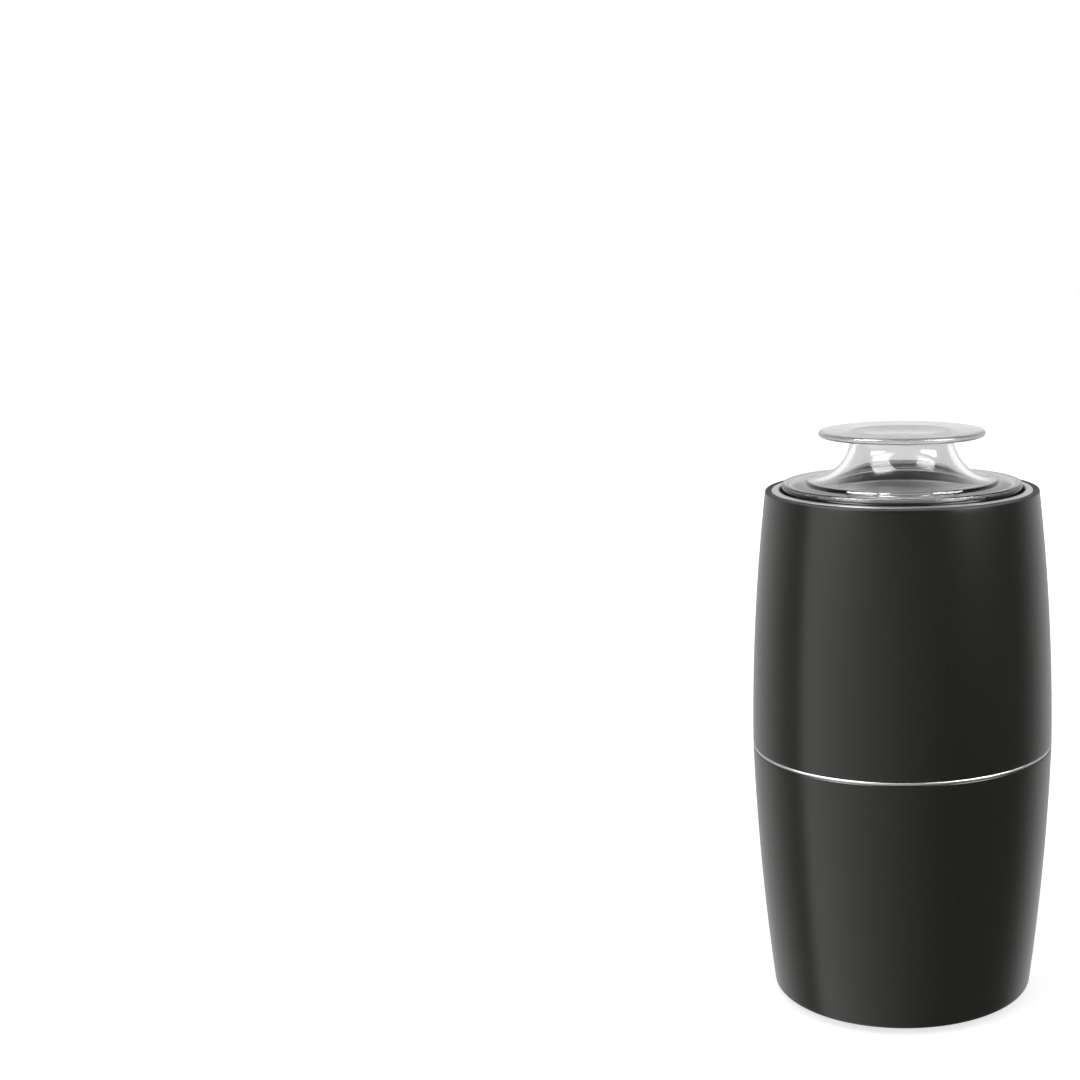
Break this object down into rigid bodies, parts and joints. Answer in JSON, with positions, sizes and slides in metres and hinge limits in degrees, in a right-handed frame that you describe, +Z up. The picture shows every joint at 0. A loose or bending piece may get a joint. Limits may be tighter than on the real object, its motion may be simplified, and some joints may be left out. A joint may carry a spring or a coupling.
{
  "type": "electric spice grinder",
  "caption": "Electric spice grinder: round barrel base with motor, steel grinding bowl with bent blade, and clear mushroom lid that is pressed down on a sprung ring to close the switch.",
  "frame": {"origin": "centre of the footprint on the table", "axes": "+Z up the barrel's axis, +Y to the back, where the cord goes in"},
  "size_m": [0.098, 0.098, 0.1872],
  "materials": {
    "shell": "satin",
    "trim": "bright",
    "collar": "satin",
    "clear": "polished",
    "ring_plastic": "satin",
    "black_plastic": "fine grain",
    "rubber": "matt",
    "bowl_steel": "brushed round the axis",
    "blade_steel": "ground",
    "zinc_steel": "zinc plated",
    "spring_steel": "drawn wire",
    "button": "gloss",
    "core_steel": "stacked sheets",
    "copper_wire": "enamelled",
    "copper": "turned",
    "fan_plastic": "natural",
    "shaft_steel": "ground",
    "bronze": "sintered",
    "bracket": "cast",
    "brass": "pressed",
    "carbon": "carbon"
  },
  "bodies": {
    "housing": {"lower_housing": "shell", "upper_housing": "shell", "trim_ring": "trim", "bottom_cover": "black_plastic", "foot_1": "rubber", "foot_2": "rubber", "foot_3": "rubber", "foot_4": "rubber", "cover_screws": "zinc_steel", "seam_screws": "zinc_steel", "cord_gland": "rubber", "cord_clamp": "black_plastic", "chassis": "black_plastic", "collar": "collar", "bowl": "bowl_steel", "bowl_gasket": "rubber", "hub_nut": "zinc_steel", "shaft_seal": "rubber", "lift_springs": "spring_steel", "switch_case": "black_plastic", "stator_core": "core_steel", "field_coil_right": "copper_wire", "field_coil_left": "copper_wire", "upper_bearing": "bronze", "lower_bearing": "bronze", "motor_bracket": "bracket", "motor_bolts": "zinc_steel", "brush_holder_right": "brass", "brush_holder_left": "brass", "brush_right": "carbon", "brush_left": "carbon", "brush_springs": "spring_steel"},
    "lift_ring": {"lift_ring": "ring_plastic"},
    "lid": {"lid": "clear", "lid_disc": "clear"},
    "rotor": {"motor_shaft": "shaft_steel", "armature_core": "core_steel", "armature_winding": "copper_wire", "commutator": "copper", "fan": "fan_plastic", "blade": "blade_steel", "blade_nut": "blade_steel"},
    "switch_lever": {"switch_lever": "spring_steel"},
    "switch_button": {"switch_button": "button"}
  },
  "joints": [
    {"name": "lid_press", "type": "slide", "parent": "housing", "child": "lift_ring", "axis": [0, 0, 1], "range_m": [-0.0022, 0], "stiffness_N_per_m": 3000, "springref_m": 0.002, "deforming": ["lift_springs"]},
    {"name": "lid_lift", "type": "slide", "parent": "lift_ring", "child": "lid", "axis": [0, 0, 1], "range_m": [0, 0.09]},
    {"name": "blade_spin", "type": "hinge", "parent": "housing", "child": "rotor", "pos_m": [0, 0, 0.0475], "axis": [0, 0, 1], "continuous": true},
    {"name": "switch_lever_turn", "type": "hinge", "parent": "housing", "child": "switch_lever", "pos_m": [-0.009, 0.03685, 0.0921], "axis": [0, 1, 0], "range_deg": [0, 13.3]},
    {"name": "switch_button_press", "type": "slide", "parent": "housing", "child": "switch_button", "axis": [0, 0, 1], "range_m": [-0.0004, 0]}
  ],
  "couplings": [
    {"joint": "switch_lever_turn", "follows": "lid_press", "rad_per_m": -104.72},
    {"joint": "switch_button_press", "follows": "lid_press", "ratio": 0.1818}
  ]
}
